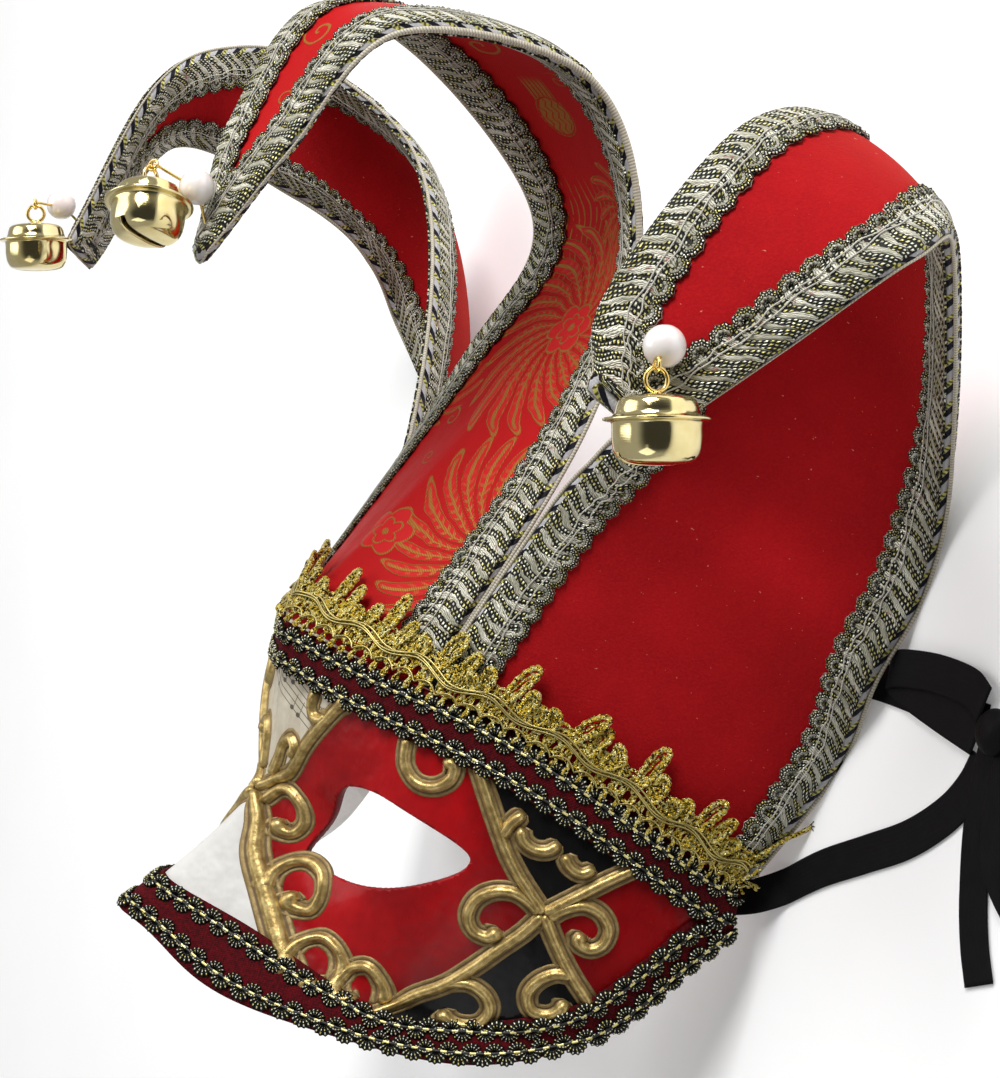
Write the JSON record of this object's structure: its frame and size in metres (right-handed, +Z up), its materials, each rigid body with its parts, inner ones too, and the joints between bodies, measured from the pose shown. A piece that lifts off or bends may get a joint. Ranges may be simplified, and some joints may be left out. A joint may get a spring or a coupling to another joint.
{
  "type": "venetian jester half mask",
  "caption": "Venetian jester half mask of painted papier-mache, with gold scrollwork, curled cloth points, pearls, jingle bells, a lace crown and tied ribbons.",
  "frame": {"origin": "on the table, at the middle of the mask's own box without its ribbons", "axes": "+X to the wearer's left, +Y to the top of the mask, +Z up out of the face, which looks up"},
  "size_m": [0.3247, 0.2364, 0.1636],
  "materials": {
    "face_paint": "gloss",
    "brocade": "satin",
    "velvet": "matte",
    "galloon": "satin",
    "twisted_cord": "satin",
    "burgundy_braid": "satin",
    "gold_lace": "metallic",
    "pearl": "pearl",
    "bell_metal": "polished",
    "ribbon": "satin"
  },
  "bodies": {
    "root": {"mask_face": "face_paint", "centre_point": "brocade", "left_point": "velvet", "right_point": "velvet", "centre_front_braid": "galloon", "centre_back_braid": "galloon", "centre_edge_cord": "twisted_cord", "left_front_braid": "galloon", "left_back_braid": "galloon", "left_edge_cord": "twisted_cord", "right_front_braid": "galloon", "right_back_braid": "galloon", "right_edge_cord": "twisted_cord", "forehead_braid": "burgundy_braid", "rim_braid": "burgundy_braid", "crown_lace": "gold_lace", "centre_pearl": "pearl", "centre_bell": "bell_metal", "centre_wire_loop": "bell_metal", "left_pearl": "pearl", "left_bell": "bell_metal", "left_wire_loop": "bell_metal", "right_pearl": "pearl", "right_bell": "bell_metal", "right_wire_loop": "bell_metal", "left_ribbon": "ribbon", "right_ribbon": "ribbon", "ribbon_loop": "ribbon", "left_tail": "ribbon", "right_tail": "ribbon", "ribbon_knot": "ribbon"}
  },
  "joints": []
}
